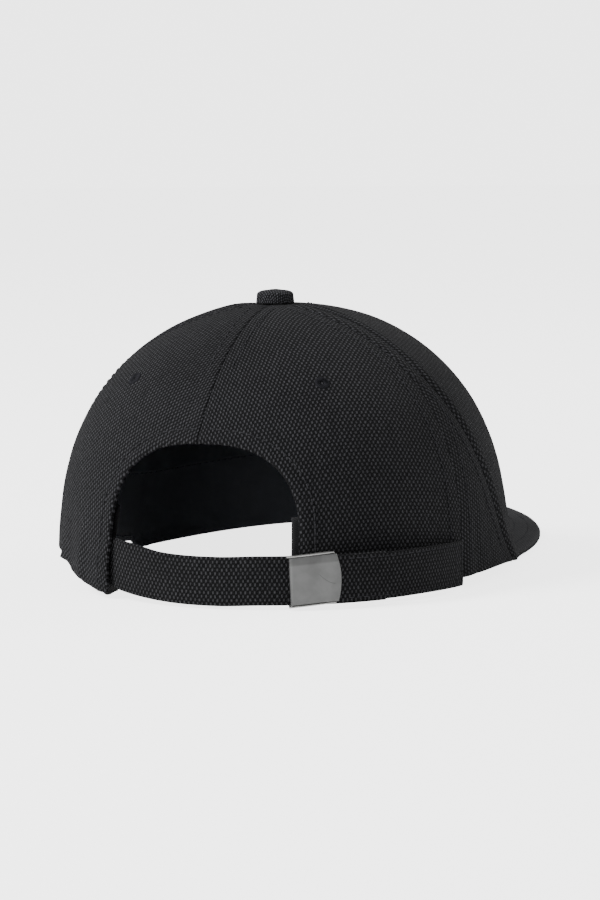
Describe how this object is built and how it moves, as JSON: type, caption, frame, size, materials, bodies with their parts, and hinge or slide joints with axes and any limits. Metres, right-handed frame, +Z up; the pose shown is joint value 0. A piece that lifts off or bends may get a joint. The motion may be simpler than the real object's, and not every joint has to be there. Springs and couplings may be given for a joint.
{
  "type": "bump cap",
  "caption": "Six-panel canvas bump cap with curved visor, strap-back opening, hinged clasp and slide-out protective insert",
  "frame": {"origin": "middle of the cap's box, on the surface that it stands on", "axes": "+Z up, +Y out of the rear opening, -Y out of the visor, +X the wearer's left"},
  "size_m": [0.1884, 0.2844, 0.1166],
  "materials": {
    "canvas": "coarse black plain-weave cotton canvas",
    "webbing": "folded and edge-stitched black canvas strap",
    "tape": "black cotton seam tape",
    "thread": "black embroidery thread",
    "sweatband": "black brushed cotton twill, folded",
    "visor_board": "moulded polyethylene stiffener",
    "clasp_metal": "satin nickel plate, lightly scuffed",
    "shell_plastic": "moulded black ABS with a fine texture",
    "foam": "closed-cell EVA foam"
  },
  "bodies": {
    "cap": {"back_right_panel": "canvas", "back_left_panel": "canvas", "side_right_panel": "canvas", "side_left_panel": "canvas", "front_right_panel": "canvas", "front_left_panel": "canvas", "button_cover": "canvas", "visor_top_cloth": "canvas", "visor_under_cloth": "canvas", "seam_tape_middle_back": "tape", "seam_tape_middle_front": "tape", "seam_tape_back_right": "tape", "seam_tape_back_left": "tape", "seam_tape_front_right": "tape", "seam_tape_front_left": "tape", "opening_facing": "tape", "eyelet_back_right": "thread", "eyelet_back_left": "thread", "eyelet_front_right": "thread", "eyelet_front_left": "thread", "button_core": "clasp_metal", "button_rivet": "clasp_metal", "button_washer": "clasp_metal", "clasp_frame": "clasp_metal", "clasp_hinge_pin": "clasp_metal", "clasp_loop_bar": "clasp_metal", "visor_board": "visor_board", "sweatband": "sweatband", "clasp_band": "webbing"},
    "strap": {"rear_strap": "webbing"},
    "flap": {"clasp_flap": "clasp_metal"},
    "insert": {"protective_shell": "shell_plastic", "pad_front": "foam", "pad_right": "foam", "pad_left": "foam", "pad_middle_front": "foam", "pad_middle_back": "foam"}
  },
  "joints": [
    {"name": "strap_feed", "type": "hinge", "parent": "cap", "child": "strap", "pos_m": [-0.00685, 0.06334, 0.00995], "axis": [0, 0, 1], "range_deg": [-7, 7]},
    {"name": "clasp_hinge", "type": "hinge", "parent": "cap", "child": "flap", "pos_m": [-0.04299, 0.13522, 0.00995], "axis": [0, 0, -1], "range_deg": [0, 85]},
    {"name": "insert_pull", "type": "slide", "parent": "cap", "child": "insert", "axis": [0, 0, -1], "range_m": [0, 0.11]}
  ]
}
